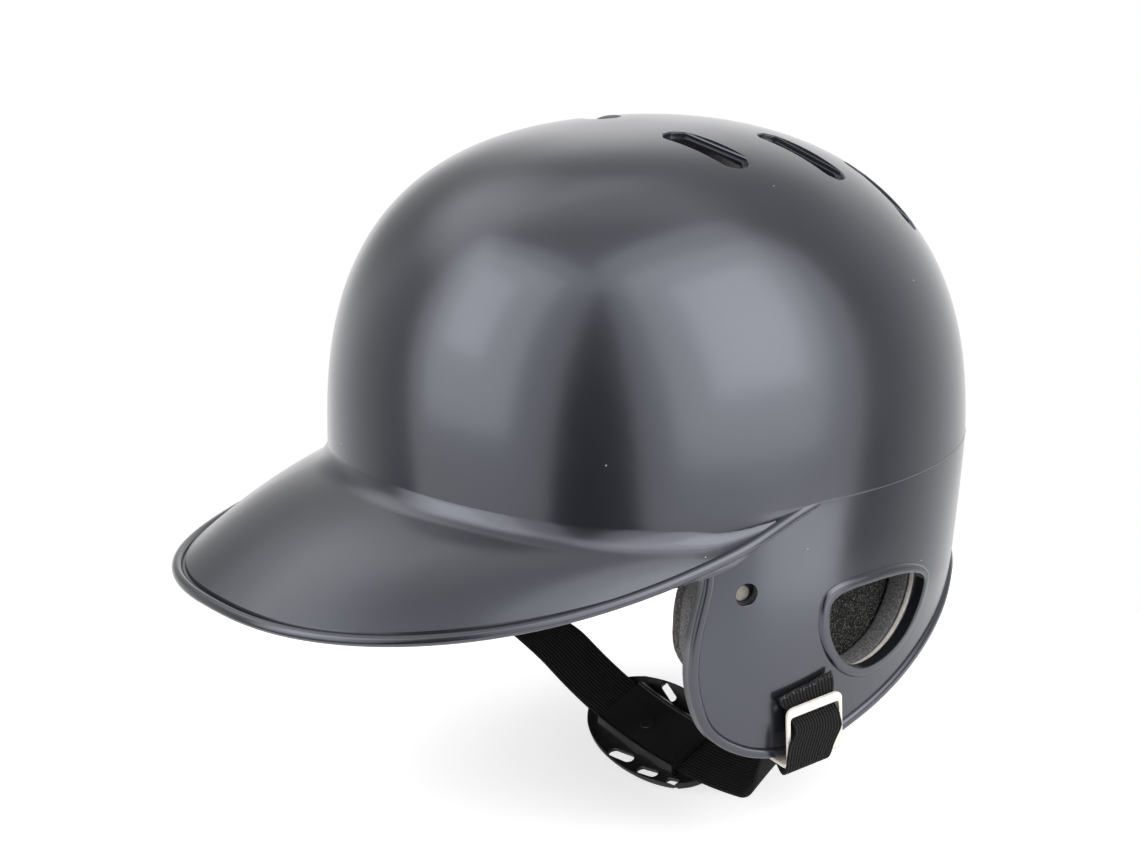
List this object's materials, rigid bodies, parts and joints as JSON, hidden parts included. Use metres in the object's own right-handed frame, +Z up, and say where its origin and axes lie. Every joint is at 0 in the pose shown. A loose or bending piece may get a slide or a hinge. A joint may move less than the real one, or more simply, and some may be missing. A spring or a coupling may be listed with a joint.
{
  "type": "batting helmet",
  "caption": "Hard moulded head guard with a long brim, an ear flap on each side with an ear hole, crown vents, a foam liner and a hook-on chin strap with a cup.",
  "frame": {"origin": "centre of the head opening at the widest section of the dome, at brow height, where the head holds it", "axes": "+Z up to the crown, the wearer faces -Y, the wearer's left ear flap is at +X"},
  "size_m": [0.216, 0.3084, 0.2487],
  "materials": {
    "shell": "glossy moulded black",
    "impact_foam": "smooth closed-cell foam",
    "comfort_foam": "speckled open-cell foam",
    "backing_sheet": "pale backing sheet",
    "webbing": "ribbed black elastic webbing",
    "cup": "satin moulded black",
    "clip": "ivory coated metal"
  },
  "bodies": {
    "helmet": {"shell": "shell", "front_impact_pad": "impact_foam", "front_comfort_pad": "comfort_foam", "rear_impact_pad": "impact_foam", "rear_comfort_pad": "comfort_foam", "crown_impact_pad": "impact_foam", "crown_comfort_pad": "comfort_foam", "left_side_impact_pad": "impact_foam", "left_side_comfort_pad": "comfort_foam", "right_side_impact_pad": "impact_foam", "right_side_comfort_pad": "comfort_foam", "left_ear_backing": "backing_sheet", "left_ear_impact_ring": "impact_foam", "left_ear_comfort_pad": "comfort_foam", "right_ear_backing": "backing_sheet", "right_ear_impact_ring": "impact_foam", "right_ear_comfort_pad": "comfort_foam"},
    "clips": {"left_clip": "clip", "right_clip": "clip", "left_webbing_end": "webbing", "right_webbing_end": "webbing"},
    "strap": {"chin_webbing": "webbing"},
    "cup": {"chin_cup": "cup"}
  },
  "joints": [
    {"name": "strap_unhook", "type": "slide", "parent": "helmet", "child": "clips", "axis": [0, 0, -1], "range_m": [0, 0.025]},
    {"name": "strap_swing", "type": "hinge", "parent": "clips", "child": "strap", "pos_m": [0, -0.00155, -0.09696], "axis": [1, 0, 0], "range_deg": [-60, 60]},
    {"name": "cup_slide", "type": "hinge", "parent": "strap", "child": "cup", "pos_m": [0.028, 0.003, 0.1292], "axis": [0, 1, 0], "range_deg": [-6, 8]}
  ]
}
